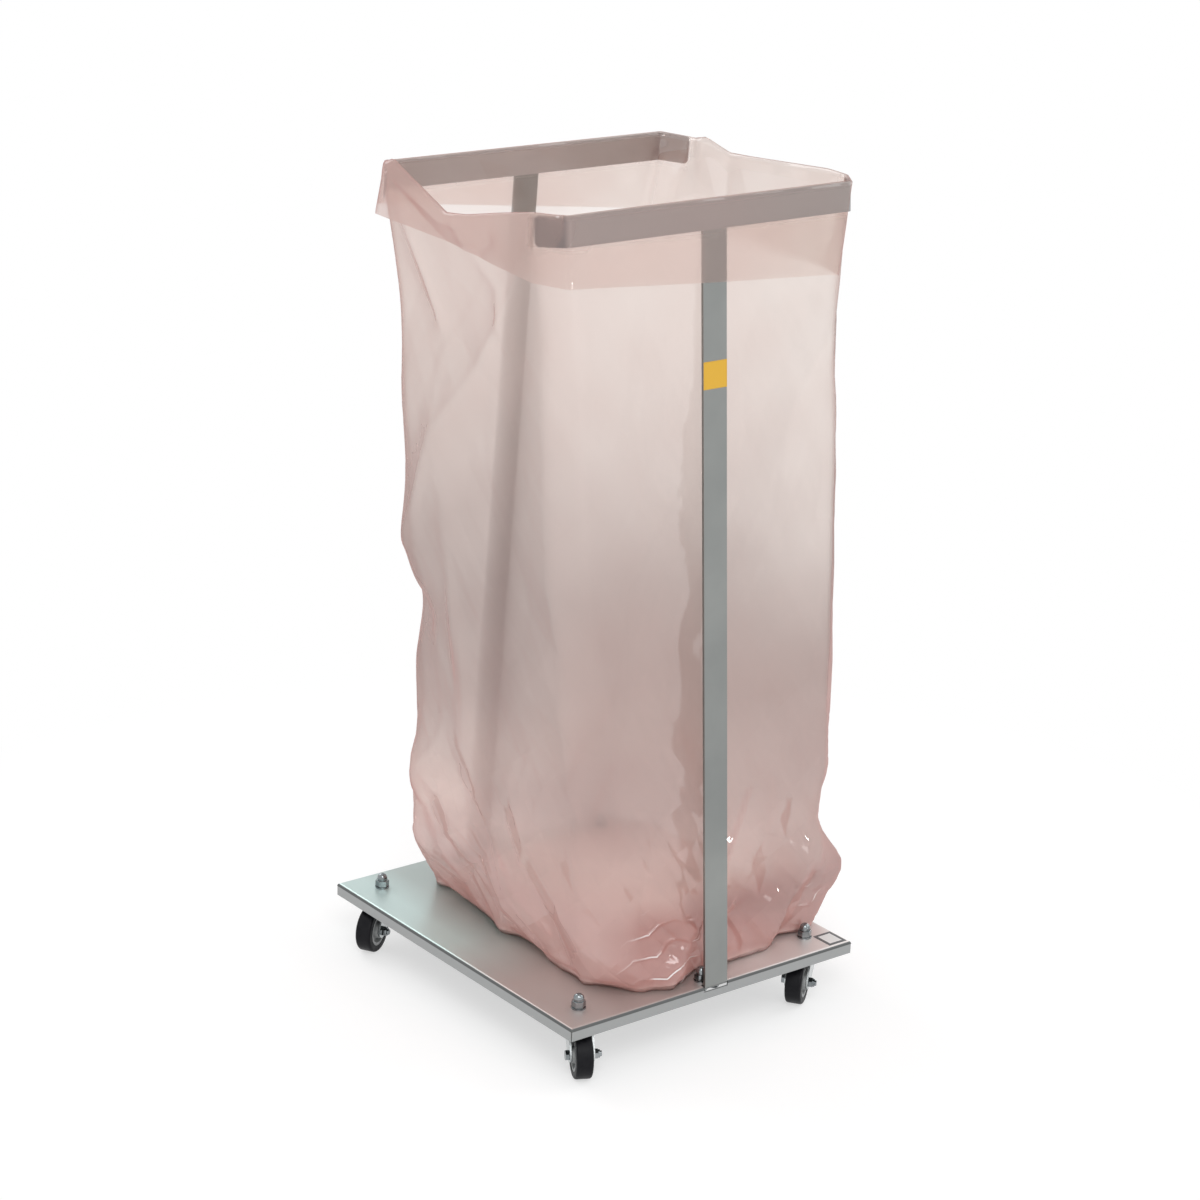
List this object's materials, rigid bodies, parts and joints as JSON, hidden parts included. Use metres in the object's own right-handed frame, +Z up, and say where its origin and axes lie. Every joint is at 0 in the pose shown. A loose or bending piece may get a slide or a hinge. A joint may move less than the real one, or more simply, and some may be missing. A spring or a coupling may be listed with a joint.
{
  "type": "plastic bag holder",
  "caption": "Mobile stand: folded zinc tray on swivel castors, two leaning T-shaped flat-bar frames, and a pink film bag hung between them with its cuff over the bars.",
  "frame": {"origin": "on the floor, under the centre of the tray", "axes": "+Z up; X along the rim bars and the tray's shorter side; Y from the front T-frame to the rear one"},
  "size_m": [0.4047, 0.4529, 0.8875],
  "materials": {
    "zinc_sheet": "bright zinc-plated sheet, nearly mirror-like, faint streaks",
    "zinc_bar": "zinc-plated flat bar, satin with faint lengthwise drawing marks",
    "zinc_fastener": "bright zinc plate",
    "castor_zinc": "pressed and zinc-plated steel",
    "bearing_steel": "plain ground steel",
    "hub_plastic": "grey moulded plastic",
    "tyre_rubber": "black rubber tread, satin",
    "bag_film": "thin pink antistatic film, translucent, wrinkled",
    "label_film": "plain white label with a dark border",
    "sticker_yellow": "plain yellow sticker"
  },
  "bodies": {
    "root": {"base_tray": "zinc_sheet", "front_upright": "zinc_bar", "rear_upright": "zinc_bar", "front_rim_bar": "zinc_bar", "rear_rim_bar": "zinc_bar", "foot_bolts": "zinc_fastener", "foot_washers": "zinc_fastener", "foot_cap_nuts": "zinc_fastener", "castor_bolts": "zinc_fastener", "castor_washers": "zinc_fastener", "castor_cap_nuts": "zinc_fastener", "front_left_cup": "castor_zinc", "front_left_kingpin": "castor_zinc", "front_right_cup": "castor_zinc", "front_right_kingpin": "castor_zinc", "rear_left_cup": "castor_zinc", "rear_left_kingpin": "castor_zinc", "rear_right_cup": "castor_zinc", "rear_right_kingpin": "castor_zinc", "bag": "bag_film", "deck_label": "label_film", "upright_label": "sticker_yellow"},
    "front_left_swivel": {"front_left_fork": "castor_zinc", "front_left_ball_ring": "bearing_steel", "front_left_axle_bolt": "zinc_fastener", "front_left_axle_nut": "zinc_fastener", "front_left_axle_sleeve": "bearing_steel"},
    "front_left_wheel": {"front_left_hub": "hub_plastic", "front_left_tyre": "tyre_rubber"},
    "front_right_swivel": {"front_right_fork": "castor_zinc", "front_right_ball_ring": "bearing_steel", "front_right_axle_bolt": "zinc_fastener", "front_right_axle_nut": "zinc_fastener", "front_right_axle_sleeve": "bearing_steel"},
    "front_right_wheel": {"front_right_hub": "hub_plastic", "front_right_tyre": "tyre_rubber"},
    "rear_left_swivel": {"rear_left_fork": "castor_zinc", "rear_left_ball_ring": "bearing_steel", "rear_left_axle_bolt": "zinc_fastener", "rear_left_axle_nut": "zinc_fastener", "rear_left_axle_sleeve": "bearing_steel"},
    "rear_left_wheel": {"rear_left_hub": "hub_plastic", "rear_left_tyre": "tyre_rubber"},
    "rear_right_swivel": {"rear_right_fork": "castor_zinc", "rear_right_ball_ring": "bearing_steel", "rear_right_axle_bolt": "zinc_fastener", "rear_right_axle_nut": "zinc_fastener", "rear_right_axle_sleeve": "bearing_steel"},
    "rear_right_wheel": {"rear_right_hub": "hub_plastic", "rear_right_tyre": "tyre_rubber"}
  },
  "joints": [
    {"name": "front_left_turn", "type": "hinge", "parent": "root", "child": "front_left_swivel", "pos_m": [-0.154, -0.18, 0.0572], "axis": [0, 0, 1], "continuous": true},
    {"name": "front_left_roll", "type": "hinge", "parent": "front_left_swivel", "child": "front_left_wheel", "pos_m": [-0.1649, -0.20138, 0.025], "axis": [0.891, -0.454, 0], "continuous": true},
    {"name": "front_right_turn", "type": "hinge", "parent": "root", "child": "front_right_swivel", "pos_m": [0.154, -0.18, 0.0572], "axis": [0, 0, 1], "continuous": true},
    {"name": "front_right_roll", "type": "hinge", "parent": "front_right_swivel", "child": "front_right_wheel", "pos_m": [0.13458, -0.19411, 0.025], "axis": [0.5878, -0.809, 0], "continuous": true},
    {"name": "rear_left_turn", "type": "hinge", "parent": "root", "child": "rear_left_swivel", "pos_m": [-0.154, 0.18, 0.0572], "axis": [0, 0, 1], "continuous": true},
    {"name": "rear_left_roll", "type": "hinge", "parent": "rear_left_swivel", "child": "rear_left_wheel", "pos_m": [-0.17478, 0.168, 0.025], "axis": [0.5, -0.866, 0], "continuous": true},
    {"name": "rear_right_turn", "type": "hinge", "parent": "root", "child": "rear_right_swivel", "pos_m": [0.154, 0.18, 0.0572], "axis": [0, 0, 1], "continuous": true},
    {"name": "rear_right_roll", "type": "hinge", "parent": "rear_right_swivel", "child": "rear_right_wheel", "pos_m": [0.166, 0.20078, 0.025], "axis": [-0.866, 0.5, 0], "continuous": true}
  ]
}
